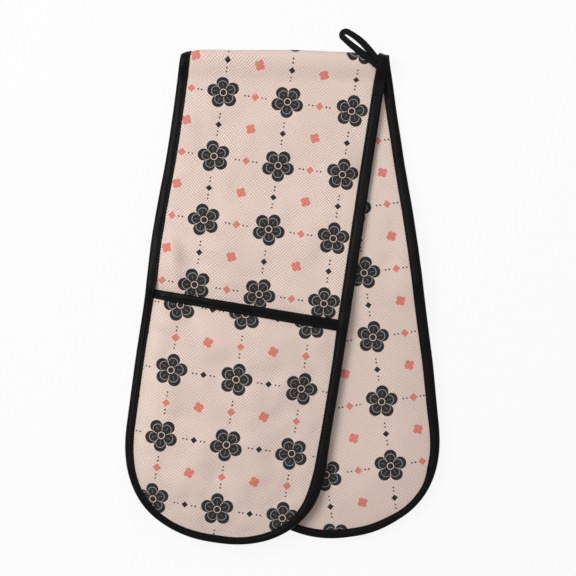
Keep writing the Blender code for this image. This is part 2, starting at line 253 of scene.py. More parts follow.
# How far each sewn edge wanders inside its even outline, at stops along it from the crease
edge_wander = {
    ("front", -1): (
        (0, 1.4), (70, 2.0), (185, -0.7), (235, 1.0), (285, 0.4), (370, 1.2), (440, 0.3), (489, -1.0),
    ),
    ("front", 1): ((0, 0.2), (215, 0.3), (270, 0.8), (340, 1.9), (395, -1.4), (470, -1.1), (489, -1.0)),
    ("rear", -1): ((0, 0.5), (200, 0.8), (340, 0.8), (430, -1.0), (484, -2.4)),
    ("rear", 1): ((0, 0.3), (40, 0.8), (190, -1.9), (280, -1.5), (356, 0.8), (440, 0.0), (484, -2.4)),
}
askew_lead = 80.0 * MM
askew_kept = 12.0 * MM
askew_fade = 70.0 * MM


def flat_point(half, station, inset, edge):
    """Across and along of a station's point at an inset from the edge: edge is -1 left, 1 right."""
    kind, value = station
    length = strip_lengths[half]
    half_width = half_width_at(half, length if kind == "cap" else value)
    inset += along_stops(edge_wander[half, edge], edge_run(half, station)) * (1 - inset / half_width)
    if kind == "cap":
        power = 2 / end_fullness
        across = edge * max(half_width - inset, 0.0) * abs(math.cos(value)) ** power
        return across, length - end_depth + (end_depth - inset) * math.sin(value) ** power
    across = edge * (half_width - inset)
    slant = sides[half] * across * math.tan(fan_angle) * (1 - smooth((value - slant_kept) / slant_fade))
    past_mouth = value - mouth_distance(half)
    askew = smooth(past_mouth / askew_lead + 1) * (1 - smooth((past_mouth - askew_kept) / askew_fade))
    return across, value + slant + askew * mouth_tilt[half] * across


def straight_stations(half, first):
    last = strip_lengths[half] - end_depth
    count = round((last - first) / station_step)
    return [("side", mix(first, last, i / count)) for i in range(count)]


def cap_stations():
    return [("cap", math.pi / 2 * i / cap_steps) for i in range(cap_steps + 1)]


def strip_stations(half):
    """Stations down one edge, from the middle of the fold to the tip."""
    bend = [("side", bend_end * i / bend_steps) for i in range(bend_steps)]
    return bend + straight_stations(half, bend_end) + cap_stations()


def edge_run(half, station):
    """Distance along the edge at a station, near enough for puckers to follow it."""
    kind, value = station
    return strip_lengths[half] - end_depth + value * end_depth if kind == "cap" else value


# Width of the tape that shows, which shrinks where it rolls over the rounded ends
tape_shows = {
    ("front", -1): (
        (0, 8.9), (215, 9.0), (238, 7.7), (345, 7.5), (420, 6.2), (445, 6.1), (489, 6.9),
    ),
    ("front", 1): (
        (0, 9.6), (225, 9.9), (262, 9.0), (320, 8.9), (370, 10.4), (424, 6.7), (470, 6.4), (489, 6.9),
    ),
    ("rear", -1): ((0, 9.0), (225, 9.0), (340, 8.8), (400, 6.4), (484, 7.5)),
    ("rear", 1): (
        (0, 9.1), (220, 9.4), (330, 9.2), (378, 8.1), (404, 6.1), (430, 6.1), (465, 7.3), (484, 7.5),
    ),
}
tape_hem = 0.45 * MM


def tape_leg(half, edge, run):
    """Width of the edge tape's leg, with its hem."""
    return along_stops(tape_shows[half, edge], run) + tape_hem


def column_insets(half, station):
    """Insets from the edge to the middle line, close together where the padding rises."""
    kind, value = station
    reach = half_width_at(half, strip_lengths[half] if kind == "cap" else value)
    return [mix(cover_first_inset, reach, (k / columns) ** column_crowding) for k in range(columns + 1)]


pucker_fade = 7.0 * MM
pucker_pitch = 5.5 * MM
pucker_reach = 60.0 * MM
pucker_rise = 0.3 * MM
fine_lump = 17.0 * MM
fine_rise = 0.2 * MM
broad_lump = 38.0 * MM
broad_rise = 0.25 * MM


def pucker(run, clear, seed):
    """Gathers that the edge stitching pulls into the cloth, from -1 to 1, fading inwards."""
    fade = math.exp(-max(clear, 0.0) / pucker_fade)
    return fade * noise.noise(Vector((run / pucker_pitch, clear / pucker_reach, seed)))


def strip_swell(half, face, inset, run, leg, across, along):
    """Half the wadding's thickness, as the sewn edge and the uneven padding leave it."""
    loft = 1 - math.exp(-max(inset - leg + loft_lead, 0.0) / loft_run)
    padding = mix(wadding_sewn_half, wadding_full_half, loft)
    seed = sides[half] * 7.3 + face * 2.7
    uneven = fine_rise * cloud(across, along, fine_lump, seed)
    uneven += broad_rise * cloud(across, along, broad_lump, seed)
    return padding + loft * (uneven + pucker_rise * pucker(run, inset - leg, seed))


def way_round(stations, edges):
    """Stations down one edge of a piece, and back up the other where it has both."""
    path = [(station, edges[0]) for station in stations]
    if len(edges) == 2:
        path += [(station, edges[1]) for station in reversed(stations[:-1])]
    return path


def bridge(bm, one, two):
    """Faces between two equal rows of points."""
    for k in range(len(one) - 1):
        bm.faces.new((one[k], one[k + 1], two[k + 1], two[k]))


def layer_mesh(half, stations, edges, heights):
    """A closed layer of cloth or wadding over a half's outline, from one height to another at each spot."""
    bm = bmesh.new()
    flat = bm.verts.layers.float_vector.new("cloth_place")
    sheets = ([], [])
    for station, edge in way_round(stations, edges):
        lines = ([], [])
        run = edge_run(half, station)
        leg = tape_leg(half, edge, run)
        for inset in column_insets(half, station):
            across, along = flat_point(half, station, inset, edge)
            for line, out in zip(lines, heights(inset, run, leg, across, along)):
                vertex = bm.verts.new(place(half, across, along, out))
                vertex[flat] = (across / MM, -sides[half] * along / MM, 0.0)
                line.append(vertex)
        for sheet, line in zip(sheets, lines):
            sheet.append(line)
    for sheet in sheets:
        for one, two in zip(sheet, sheet[1:]):
            bridge(bm, one, two)
    low, high = sheets
    for k in (0, columns) if len(edges) == 1 else (0,):
        bridge(bm, [line[k] for line in low], [line[k] for line in high])
    for end in (0, -1):
        bridge(bm, low[end], high[end])
    return bm


def put_in_scene(name, data):
    thing = bpy.data.objects.new(name, data)
    bpy.context.scene.collection.objects.link(thing)
    return thing


def finish_piece(name, bm, material, nodes):
    """A named piece from a mesh, in its material, standing for its CAD nodes."""
    bmesh.ops.remove_doubles(bm, verts=bm.verts, dist=weld_distance)
    bmesh.ops.recalc_face_normals(bm, faces=bm.faces)
    mesh = bpy.data.meshes.new(name)
    bm.to_mesh(mesh)
    bm.free()
    mesh.shade_smooth()
    mesh.set_sharp_from_angle(angle=math.radians(50))
    mesh.materials.append(material)
    piece = put_in_scene(name, mesh)
    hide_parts(*nodes)
    return piece


def bend_at_fold(piece, half):
    """Bakes the piece's place into its mesh, the same for either half."""
    if half == "rear":
        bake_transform(piece)
    else:
        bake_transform(piece)


def cut_area(width, length):
    """Flat area of a cut with one rounded end."""
    gamma = math.gamma
    fullness = gamma(1 + 1 / end_fullness) ** 2 / gamma(1 + 2 / end_fullness)
    return width * (length - end_depth * (1 - fullness))


def wire(socket, value):
    """Gives a node's input a number or a colour, or links another node's output to it."""
    if isinstance(value, bpy.types.NodeSocket):
        socket.id_data.links.new(value, socket)
    elif isinstance(value, tuple):
        socket.default_value = (*value, 1.0)
    else:
        socket.default_value = value


def new_node(kind, inputs, **settings):
    """A node beside the outputs that feed it, with its settings and inputs."""
    tree = next(value.id_data for value in inputs.values() if isinstance(value, bpy.types.NodeSocket))
    node = tree.nodes.new(kind)
    for setting, choice in settings.items():
        setattr(node, setting, choice)
    for name, value in inputs.items():
        wire(node.inputs[name], value)
    return node


def maths(operation, *values):
    """A sum on numbers and other nodes' outputs."""
    return new_node("ShaderNodeMath", dict(enumerate(values)), operation=operation).outputs[0]


def plus(a, b):
    return maths("ADD", a, b)


def minus(a, b):
    return maths("SUBTRACT", a, b)


def times(a, b):
    return maths("MULTIPLY", a, b)


def size_of(value):
    return maths("ABSOLUTE", value)


def within(distance, softness):
    """1 where a distance is below 0, fading to 0 over a softness."""
    inputs = {"Value": distance, "From Min": softness, "From Max": -softness}
    return new_node("ShaderNodeMapRange", inputs, interpolation_type="SMOOTHSTEP").outputs["Result"]


def colour_over(below, share, colour):
    """A colour laid over another by a share."""
    inputs = {"Factor": share, "A": below, "B": colour}
    return new_node("ShaderNodeMix", inputs, data_type="RGBA").outputs["Result"]


def mottle(at, scale, detail):
    """Soft noise from 0 to 1 over the flat cloth."""
    inputs = {"Vector": at, "Scale": scale, "Detail": detail}
    return new_node("ShaderNodeTexNoise", inputs).outputs["Fac"]


thread_relief = 0.12 * MM


def weave_bump(across, along, pitch, strength, ground):
    """Plain weave on an uneven ground: threads of a pitch that pass over and under one another."""
    one, two = (maths("SINE", times(way, math.pi / pitch)) for way in (across, along))
    inputs = {"Strength": strength, "Distance": thread_relief, "Height": plus(times(one, two), ground)}
    return new_node("ShaderNodeBump", inputs).outputs["Normal"]


def new_material(name, roughness, sheen, shine):
    """A plain material and its shader."""
    material = bpy.data.materials.new(name)
    material.use_nodes = True
    shader = material.node_tree.nodes["Principled BSDF"]
    wire(shader.inputs["Roughness"], roughness)
    wire(shader.inputs["Specular IOR Level"], shine)
    wire(shader.inputs["Sheen Weight"], sheen)
    wire(shader.inputs["Sheen Roughness"], 0.5)
    return material, shader


def new_cloth(name, roughness, sheen, shine=0.25):
    """A cloth's material and shader, and millimetres across and along it, which stay with it as it bends."""
    material, shader = new_material(name, roughness, sheen, shine)
    spot = shader.id_data.nodes.new("ShaderNodeAttribute")
    spot.attribute_name = "cloth_place"
    parts = new_node("ShaderNodeSeparateXYZ", {0: spot.outputs["Vector"]})
    return material, shader, spot.outputs["Vector"], parts.outputs[0], parts.outputs[1]


# Print on the cotton: dark open flowers at the crossings of a dotted windowpane, with small coral
# four-petalled flowers in the panes and small lozenges on the lines, over a fine dotted net.
blush = (0.745, 0.59, 0.515)
net_light = (1.0, 0.81, 0.73)
net_dark = (0.46, 0.345, 0.295)
coral_red = (0.62, 0.125, 0.10)
coral_light = (0.80, 0.33, 0.27)
ink_black = (0.010, 0.0088, 0.0088)
ink_light = (0.052, 0.047, 0.047)
vein = (0.46, 0.45, 0.45)
pane = 57.0
flower_radius = 14.4
blossom_radius = 4.6
ink_lozenge = 2.9
coral_lozenge = 3.6
bead_radius = 0.74
bead_half_pitch = 1.6
petal_gap = 0.42
ring_half_width = 0.32
vein_half_width = 0.2
rib_half_width = 0.18
shape_softness = 0.14
line_softness = 0.12
net_pitch = 1.96
net_wobble = 2.6
plain_at_fold = 9.0


def reach_from_middle(across, along):
    return maths("SQRT", plus(times(across, across), times(along, along)))


def line_print(distance, half_width):
    """A thin printed line or dot: 1 within its half width."""
    return within(minus(distance, half_width), line_softness)


def flower_shape(across, along, radius, petals, notch, turn):
    """Distance outside a flower's outline, its radial distance, its petal wave and its outline."""
    reach = reach_from_middle(across, along)
    swing = times(plus(maths("ARCTAN2", along, across), turn), petals / 2)
    open_share = maths("POWER", size_of(maths("COSINE", swing)), 0.55)
    outline = maths("MULTIPLY_ADD", open_share, radius * notch, radius * (1 - notch))
    return minus(reach, outline), reach, swing, outline


def printed_cotton(name, turned, shift_across, shift_along, net_strength):
    """Printed cotton cloth. The strip's print is turned a quarter against the pockets' print."""
    material, shader, at, across, along = new_cloth(name, 0.86, 0.12)
    u, v = (along, across) if turned else (across, along)
    u, v = plus(u, shift_across), plus(v, shift_along)
    half_pane = pane / 2
    near_u, near_v = (maths("WRAP", w, half_pane, -half_pane) for w in (u, v))
    past_u, past_v = plus(u, half_pane), plus(v, half_pane)
    mid_u, mid_v = (maths("WRAP", w, half_pane, -half_pane) for w in (past_u, past_v))
    cells = plus(maths("SNAP", past_u, pane), times(maths("SNAP", past_v, pane), 1.7))

    net_ways = []
    for way, wobble_scale in ((plus(u, v), 0.21), (minus(u, v), 0.17)):
        wobbled = plus(way, times(mottle(at, wobble_scale, 2.0), net_wobble))
        net_ways.append(maths("COSINE", times(wobbled, math.sqrt(2) * math.pi / net_pitch)))
    net = maths("MULTIPLY_ADD", plus(*net_ways), 0.25, 0.5)
    patchy = within(minus(0.43, mottle(at, 0.03, 3.0)), 0.12)
    net_share = maths("MULTIPLY_ADD", patchy, 0.65 * net_strength, 0.35 * net_strength)
    net_share = times(net_share, within(minus(plain_at_fold, size_of(along)), 5.0))
    colour = colour_over(blush, net_share, colour_over(net_light, net, net_dark))
    speck = within(minus(0.56, mottle(at, 1.15, 3.0)), 0.06)
    coral = colour_over(coral_red, times(net, 0.85), coral_light)
    ink = colour_over(ink_black, speck, ink_light)

    blossom = flower_shape(mid_u, mid_v, blossom_radius, 4, 0.42, 0.4)[0]
    colour = colour_over(colour, within(blossom, shape_softness), coral)
    lozenge = minus(plus(size_of(mid_u), size_of(near_v)), ink_lozenge)
    colour = colour_over(colour, within(lozenge, shape_softness), ink)
    lozenge = minus(plus(size_of(near_u), size_of(mid_v)), coral_lozenge)
    colour = colour_over(colour, within(lozenge, shape_softness), coral)

    for run, line in ((near_u, near_v), (near_v, near_u)):
        bead = maths("WRAP", run, bead_half_pitch, -bead_half_pitch)
        off_flower = maths("GREATER_THAN", size_of(run), flower_radius + 2.6)
        clear = times(off_flower, maths("LESS_THAN", size_of(run), half_pane - 5.2))
        dot = line_print(reach_from_middle(bead, line), bead_radius)
        colour = colour_over(colour, times(dot, clear), ink_black)

    turn = times(cells, 0.021)
    flower, reach, swing, outline = flower_shape(near_u, near_v, flower_radius, 5, 0.46, turn)
    inside = within(flower, shape_softness)
    colour = colour_over(colour, inside, ink)
    part = times(size_of(maths("COSINE", swing)), reach)
    part = plus(part, times(maths("LESS_THAN", reach, flower_radius * 0.3), 9.0))
    colour = colour_over(colour, times(line_print(part, petal_gap), inside), blush)
    inner_line = line_print(size_of(minus(reach, times(outline, 0.74))), vein_half_width)
    rib = line_print(size_of(times(maths("SINE", swing), reach)), rib_half_width)
    rib = times(rib, maths("LESS_THAN", reach, flower_radius * 0.6))
    beyond_middle = maths("GREATER_THAN", reach, flower_radius * 0.36)
    line_share = times(maths("MAXIMUM", inner_line, rib), beyond_middle)
    colour = colour_over(colour, times(line_share, inside), vein)
    ring = line_print(size_of(minus(reach, flower_radius * 0.2)), ring_half_width)
    colour = colour_over(colour, ring, blush)

    thread_tone = maths("MULTIPLY_ADD", mottle(at, 1.6, 4.0), 0.16, 0.92)
    toned = new_node("ShaderNodeVectorMath", {0: colour, "Scale": thread_tone}, operation="SCALE")
    wire(shader.inputs["Base Color"], toned.outputs[0])
    crease = times(mottle(at, 0.11, 3.0), 1.4)
    wire(shader.inputs["Normal"], weave_bump(across, along, 0.5, 0.3, crease))
    wire(shader.inputs["Roughness"], maths("MULTIPLY_ADD", mottle(at, 0.5, 2.0), 0.12, 0.8))
    return material


def strip_cloth(half, face, face_name, material):
    """A half's cloth on one face of the strip, which runs on to the middle of the fold."""
    def heights(*spot):
        inside = strip_swell(half, face, *spot) + layer_gap
        return sorted((face * inside, face * (inside + cloth_thickness)))

    bm = layer_mesh(half, strip_stations(half), (-1, 1), heights)
    nodes = (f"{half}_strip_{face_name}_cover", f"fold_{face_name}_cover")
    cover = finish_piece(f"{half}_{face_name}_cloth", bm, material, nodes)
    bend_at_fold(cover, half)
    cut = (strip_width, strip_lengths[half])
    cut_area(*cut)


strip_print = printed_cotton("printed_cotton_strip", True, 11.0, -9.0, 1.0)
for half in sides:
    strip_cloth(half, 1, "outer", strip_print)


# Strip, wadding. Cotton batting, cut to the same outline and caught flat where the tape is sewn
# round the edge. It fills the strip and shows nowhere.
batting_light = (0.82, 0.80, 0.76)
batting_dark = (0.70, 0.68, 0.63)
wadding_material, shader, at, across, along = new_cloth("cotton_wadding", 0.95, 0.2)
batting = mottle(at, 0.7, 6.0)
wire(shader.inputs["Base Color"], colour_over(batting_light, batting, batting_dark))
wire(shader.inputs["Normal"], weave_bump(across, along, 1.3, 0.2, batting))


def strip_wadding_heights(half):
    def heights(*spot):
        return -strip_swell(half, -1, *spot), strip_swell(half, 1, *spot)
    return heights


for half in sides:
    bm = layer_mesh(half, strip_stations(half), (-1, 1), strip_wadding_heights(half))
    nodes = (f"{half}_strip_wadding", "fold_wadding")
    pad = finish_piece(f"{half}_wadding_pad", bm, wadding_material, nodes)
    bend_at_fold(pad, half)


# Strip, inner cover. The same printed cotton on the other face, sewn in with the outer cover under
# the edge tape. It shows on the rear half and under the front half.
inner_print = printed_cotton("printed_cotton_inner", True, 34.0, 15.0, 0.7)
for half in sides:
    strip_cloth(half, -1, "inner", inner_print)


# Pockets. A free panel of printed cover, wadding and plain lining lies over each rounded end, crowned
# so that a hand goes in, and is caught under the edge tape all round. Each layer is made in a left
# and a right piece that meet down the middle.
lining_thickness = 0.5 * MM
pocket_wadding_full = 2.6 * MM
pocket_wadding_sewn = 0.5 * MM
tape_build = 1.1 * MM
mouth_tape_middle = 9.1 * MM
mouth_tape_spread = 0.0125
crown_lead = 0.4 * MM
crown_runs = (46.0 * MM, 76.0 * MM, 38.0 * MM)
crown_end_lead = 70.0 * MM
crown_end_run = 60.0 * MM
edge_roll = 5.5 * MM
edge_roll_shares = {"rear": (0.6, 0.6, 0.6), "front": (0.82, 0.12, 0.2)}
mouth_ease_run = 16.0 * MM
mouth_pinch = 0.6 * MM
mouth_floor_lift = 0.9 * MM
pinch_run = 9.0 * MM
panel_edge_height = (
    sewn_half + layer_gap + lining_thickness + pocket_wadding_sewn + cloth_thickness + 2 * layer_gap
)
margin_thickness = panel_edge_height - sewn_half - layer_gap
panel_thickness = margin_thickness + pocket_wadding_full - pocket_wadding_sewn


def mouth_tape_leg(half, across):
    """Width of the mouth's tape that shows: a little wider towards the right on the front."""
    return mouth_tape_middle + (mouth_tape_spread * across if half == "front" else 0.0)


def crown_share(half, clear, across, depth):
    """How far a panel has risen to its crown: steeply at its left edge, and gently elsewhere."""
    rightwards = smooth(across / strip_width + 0.5)
    endwards = smooth((depth - pocket_depth + crown_end_lead) / crown_end_run)
    left_run, right_run, end_run = crown_runs
    gentle = smooth((clear - crown_lead) / mix(mix(left_run, right_run, rightwards), end_run, endwards))
    steep = 1 - math.exp(-max(clear - crown_lead, 0.0) / edge_roll)
    left_share, right_share, end_share = edge_roll_shares[half]
    return mix(gentle, steep, mix(mix(left_share, right_share, rightwards), end_share, endwards))


pocket_folds = (
    {"across": -72, "along": 13, "turn": 35, "reach": 13, "spread": 4.5, "rise": 1.9},
    {"across": -69, "along": 30, "turn": 30, "reach": 15, "spread": 5.0, "rise": 1.6},
    {"across": -73, "along": 50, "turn": 50, "reach": 14, "spread": 5.5, "rise": 1.3},
    {"across": -45, "along": 22, "turn": 70, "reach": 14, "spread": 7.0, "rise": -1.2},
)


slack_rise = 3.6 * MM
slack_lump = 31.0 * MM
crinkle_rise = 1.1 * MM
crinkle_lump = 14.0 * MM
crinkle_ease = 9.0 * MM
gather_rise = 0.4 * MM
gather_ease = 3.0 * MM
pocket_fold_ease = 6.0 * MM


def panel_relief(half, clear, run, across, depth):
    """Uneven swelling of a pocket's panel. The rear panel lies on the table, so it only sinks."""
    rise = crown_share(half, clear, across, depth) * slack_rise * cloud(across, depth, slack_lump, 5.7)
    rise += smooth(clear / crinkle_ease) * crinkle_rise * cloud(across, depth, crinkle_lump, 8.2)
    rise += gather_rise * pucker(run, clear, 4.4) * smooth(clear / gather_ease)
    if half == "rear":
        return -abs(rise)
    folds = sum(soft_fold(across, depth, fold) for fold in pocket_folds)
    return rise + smooth(clear / pocket_fold_ease) * folds


def panel_levels(half, inset, run, leg, across, along):
    """Heights of a panel's inner and outer faces above the strip's middle."""
    depth = along - mouth_line(half, across)
    clear = inset - leg
    mouth = 1 - smooth((depth - mouth_tape_leg(half, across)) / mouth_ease_run)
    crown = crown_share(half, clear, across, depth)
    pinched = 1 - smooth(clear / pinch_run)
    plain = mix(panel_edge_height, panel_crown_height, crown)
    bound = mix(panel_edge_height - mouth_pinch * pinched, panel_crown_height - tape_build, crown)
    outside = mix(plain, bound, mouth) + panel_relief(half, clear, run, across, depth)
    thickness = mix(mix(margin_thickness, panel_thickness, crown), margin_thickness, mouth)
    return outside - thickness + mouth_floor_lift * mouth * pinched, outside


def lift_with_mouth(piece, half):
    """Bakes the piece's place into its mesh; the point it finds in the middle of the mouth is not used."""
    middle = place(half, 0, mouth_distance(half), 0)
    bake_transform(piece)


def pocket_stations(half):
    return straight_stations(half, mouth_distance(half) + tape_build) + cap_stations()


def pocket_layer_heights(half, layer):
    def heights(*spot):
        inside, outside = panel_levels(half, *spot)
        if layer == "cover":
            return outside - cloth_thickness, outside
        if layer == "lining":
            return inside, inside + lining_thickness
        return inside + lining_thickness + layer_gap, outside - cloth_thickness - layer_gap
    return heights


lining_light = (0.66, 0.55, 0.48)
lining_dark = (0.55, 0.45, 0.39)
edge_sides = {"left": -1, "right": 1}
pocket_print = printed_cotton("printed_cotton_pocket", False, 0.0, -8.0, 0.8)
lining_material, shader, at, across, along = new_cloth("plain_cotton_lining", 0.9, 0.1)
slub = mottle(at, 0.9, 5.0)
wire(shader.inputs["Base Color"], colour_over(lining_light, slub, lining_dark))
wire(shader.inputs["Normal"], weave_bump(across, along, 0.6, 0.35, slub))
pocket_layers = (
    ("cover", "cloth", pocket_print, "printed_cotton"),
    ("wadding", "pad", wadding_material, "wadding"),
    ("lining", "lining", lining_material, "lining_cotton"),
)
for half in sides:
    for side_name, edge in edge_sides.items():
        for layer, piece_name, material, slot_name in pocket_layers:
            bm = layer_mesh(half, pocket_stations(half), (edge,), pocket_layer_heights(half, layer))
            nodes = [f"{half}_pocket_{layer}"]
            if layer == "cover":
                nodes.append(f"{half}_pocket_seam_margin")
            name = f"{half}_pocket_{piece_name}_{side_name}"
            piece = finish_piece(name, bm, material, nodes)
            lift_with_mouth(piece, half)
            if layer == "wadding":
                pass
            else:
                cut = (strip_width / 2, pocket_depth)
                cut_area(*cut)


# Mouth bindings. Black bias tape, folded over the pocket's three layers along its mouth and stitched
# once near its edge. Its two ends go under the edge tape.
tape_thickness = 0.8 * MM
groove_depth = 0.4 * MM
stitch_inset = 2.2 * MM
hem_drop = 0.45 * MM
hem_run = 0.4 * MM
hem_dip = 0.08 * MM
groove_before = 0.7 * MM
groove_after = 0.8 * MM
roll_swell = 0.12 * MM


def tape_outline(leg, top, bottom, ripple, bend, lean=0.0):
    """Outline of a tape folded over an edge, from its inner edge on top round the fold and back."""
    middle = (top + bottom) / 2
    rise = (top - bottom) / 2 + tape_build
    seam = leg - stitch_inset
    face = [
        (leg, layer_gap - tape_build),
        (leg, -hem_drop),
        (leg - hem_run, ripple - hem_dip),
        (seam + groove_before, ripple),
        (seam, ripple - groove_depth),
        (seam - groove_after, ripple),
        (mix(seam, bend, 0.5), ripple + roll_swell),
    ]
    over = [(inset, middle + rise + out + lean * inset / leg) for inset, out in face]
    under = [(inset, middle - rise - out + lean * inset / leg) for inset, out in reversed(face)]
    arc_steps = 12
    turns = [math.pi * i / arc_steps for i in range(arc_steps + 1)]
    fold = [(bend * (1 - math.sin(turn)), middle + rise * math.cos(turn)) for turn in turns]
    inner = [(tape_thickness, bottom - layer_gap), (tape_thickness, top + layer_gap)]
    return over + fold + under + inner


def loft(loops, flats, bm=None):
    """A closed skin over a run of equal loops, with the cloth's flat places, in a given mesh or a new one."""
    bm = bm or bmesh.new()
    layers = bm.verts.layers.float_vector
    layer = layers.get("cloth_place") or layers.new("cloth_place")
    rings = []
    for loop, flat in zip(loops, flats):
        ring = [bm.verts.new(point) for point in loop]
        for vertex, spot in zip(ring, flat):
            vertex[layer] = spot
        rings.append(ring)
    for one, two in zip(rings, rings[1:]):
        bridge(bm, one + one[:1], two + two[:1])
    bm.faces.new(rings[0])
    bm.faces.new(list(reversed(rings[-1])))
    return bm


def tape_girth(outline):
    """Distance round a tape's outline to each of its points, in millimetres."""
    total, girth = 0.0, [0.0]
    for (a, b), (c, d) in zip(outline, outline[1:]):
        total += math.hypot(c - a, d - b)
        girth.append(total / MM)
    return girth


# Black tape: cotton satin, cut on the bias, so its fine threads run slantwise
tape_black = (0.0016, 0.0014, 0.0014)
tape_grey = (0.0042, 0.0037, 0.0037)
tape_material, shader, at, run_along, girth_round = new_cloth("black_bias_tape", 0.5, 0.0, 0.06)
lint = mottle(at, 0.25, 6.0)
slantwise = (plus(run_along, girth_round), minus(run_along, girth_round))
wire(shader.inputs["Base Color"], colour_over(tape_black, lint, tape_grey))
wire(shader.inputs["Normal"], weave_bump(*slantwise, 0.7, 0.3, lint))
wire(shader.inputs["Roughness"], maths("MULTIPLY_ADD", lint, 0.2, 0.27))

# Thread: black polyester, with painted highlights: it turns lighter and a little brown along the twist of its
# ply, standing in for light caught on the strands
thread_black = (0.010, 0.009, 0.0085)
thread_painted_highlight = (0.020, 0.017, 0.015)
thread_material, shader, at, run_along, girth_round = new_cloth("sewing_thread", 0.5, 0.0, 0.06)
ply_twist_and_highlight = maths("SINE", times(plus(run_along, girth_round), 9.0))
# Painted highlight: lighter brown stripes follow the ply's twist, where light would catch the thread
wire(shader.inputs["Base Color"], colour_over(thread_black, ply_twist_and_highlight, thread_painted_highlight))
wire(shader.inputs["Normal"], weave_bump(run_along, girth_round, 0.4, 0.4, ply_twist_and_highlight))

stitch_pitch = 3.1 * MM
stitch_length = 2.5 * MM
stitch_radius = 0.2 * MM
stitch_sides = 6
# Place along the stitch, girth, and rise in millimetres, of each ring that shapes it
stitch_rings = (
    (-0.5, 0.3, -0.22), (-0.32, 0.95, 0.0), (0.0, 1.0, 0.05), (0.32, 0.95, 0.0), (0.5, 0.3, -0.22),
)


def add_stitch(bm, middle, way, up):
    """One raised stitch that runs a way about its middle."""
    side = way.cross(up).normalized()
    turns = [2 * math.pi * k / stitch_sides for k in range(stitch_sides)]
    rims = [side * math.cos(turn) + up * math.sin(turn) for turn in turns]
    loops, flats = [], []
    for share, girth, rise in stitch_rings:
        centre = middle + way * share * stitch_length + up * rise * MM
        loops.append([centre + rim * stitch_radius * girth for rim in rims])
        flats.append([(0, share * stitch_length / MM, turn * stitch_radius / MM) for turn in turns])
    loft(loops, flats, bm)


def stitch_rows(name, lines):
    """Short raised stitches laid end to end along lines of (point, up) pairs."""
    bm = bmesh.new()
    for line in lines:
        spare = stitch_pitch / 2
        for (start, up), (end, _) in zip(line, line[1:]):
            ahead = (end - start).length
            while spare <= ahead:
                add_stitch(bm, start.lerp(end, spare / ahead), (end - start).normalized(), up)
                spare += stitch_pitch
            spare -= ahead
    return finish_piece(name, bm, thread_material, ())


def up_at(half, across, along, sense):
    """Away from the strip's middle, on the pocket side where sense is 1."""
    step = place(half, across, along, MM) - place(half, across, along, 0)
    return step.normalized() * sense


mouth_first_inset = 4.0 * MM
table_clear = 0.3 * MM
mouth_steps = 46
mouth_bend = 1.9 * MM
mouth_ripple = 0.14 * MM
mouth_ripple_pitch = 6.0 * MM
for half in sides:
    for side_name, edge in edge_sides.items():
        loops, flats, top_line, under_line = [], [], [], []
        station = ("side", mouth_distance(half))
        reach = half_width_at(half, mouth_distance(half))
        edge_leg = tape_leg(half, edge, mouth_distance(half))
        for i in range(mouth_steps + 1):
            inset = mix(mouth_first_inset, reach, i / mouth_steps)
            across = flat_point(half, station, inset, edge)[0]
            leg = mouth_tape_leg(half, across)
            start = mouth_line(half, across)
            hem_top = panel_levels(half, inset, start + leg, edge_leg, across, start + leg)[1]
            bottom, top = panel_levels(half, inset, start, edge_leg, across, start)
            if half == "rear":
                hem_top, top = hem_top - table_clear, top - table_clear
            ripple = mouth_ripple * noise.noise(Vector((inset / mouth_ripple_pitch, edge, sides[half])))
            outline = tape_outline(leg, top, bottom, ripple, mouth_bend, hem_top - top)
            loops.append([place(half, across, start + depth, out) for depth, out in outline])
            flats.append([(i, edge * inset / MM, girth) for girth in tape_girth(outline)])
            seam = leg - stitch_inset
            if inset > edge_leg:
                lean = (hem_top - top) * seam / leg
                level = tape_build - groove_depth + ripple
                for line, out, sense in ((top_line, top + level, 1), (under_line, bottom - level, -1)):
                    point = place(half, across, start + seam, out + lean)
                    line.append((point, up_at(half, across, start + seam, sense)))
        name = f"{half}_mouth_tape_{side_name}"
        nodes = (f"{half}_mouth_binding",)
        tape = finish_piece(name, loft(loops, flats), tape_material, nodes)
        lift_with_mouth(tape, half)
        stitches = stitch_rows(f"{half}_mouth_stitches_{side_name}", [top_line, under_line])
        lift_with_mouth(stitches, half)


# Edge bindings. Black bias tape folded over the whole outline, wider where it takes in the pocket, and
# stitched through all the layers. It puckers a little, most round the ends.
tape_step_run = 12.0 * MM
tape_step_lead = 2.5 * MM
mouth_bulge = 0.55 * MM
mouth_bulge_reach = 6.5 * MM
side_bend = 4.0 * MM
front_right_bend = 2.6 * MM
end_bend = 4.4 * MM
end_bend_run = 40.0 * MM
side_ripple = 0.13 * MM
end_ripple = 0.22 * MM
edge_ripple_pitch = 4.6 * MM
least_beside_seam = 1.2 * MM
# The stitched grooves among the points of the outline
seam_on_top = 4
seam_below = -7


def edge_tape_outline(half, station, edge, run):
    """Outline of the edge tape at a station, rolled further over at the rounded ends."""
    across, along = flat_point(half, station, 0.0, edge)
    depth = along - mouth_line(half, across)
    step = smooth((depth + tape_step_lead + tape_step_run) / tape_step_run)
    top = mix(sewn_half, panel_edge_height, step)
    over_mouth = (depth - mouth_tape_leg(half, across) / 2) / mouth_bulge_reach
    top += mouth_bulge * math.exp(-over_mouth * over_mouth)
    round_the_end = smooth((run - strip_lengths[half] + end_depth) / end_bend_run)
    wave = noise.noise(Vector((run / edge_ripple_pitch, edge, sides[half] * 3.3)))
    ripple = mix(side_ripple, end_ripple, round_the_end) * wave
    seam = tape_leg(half, edge, run) - stitch_inset
    sideways = front_right_bend if (half, edge) == ("front", 1) else side_bend
    bend = min(mix(sideways, end_bend, round_the_end), seam - least_beside_seam)
    return tape_outline(seam + stitch_inset, top, -sewn_half, ripple, bend), seam


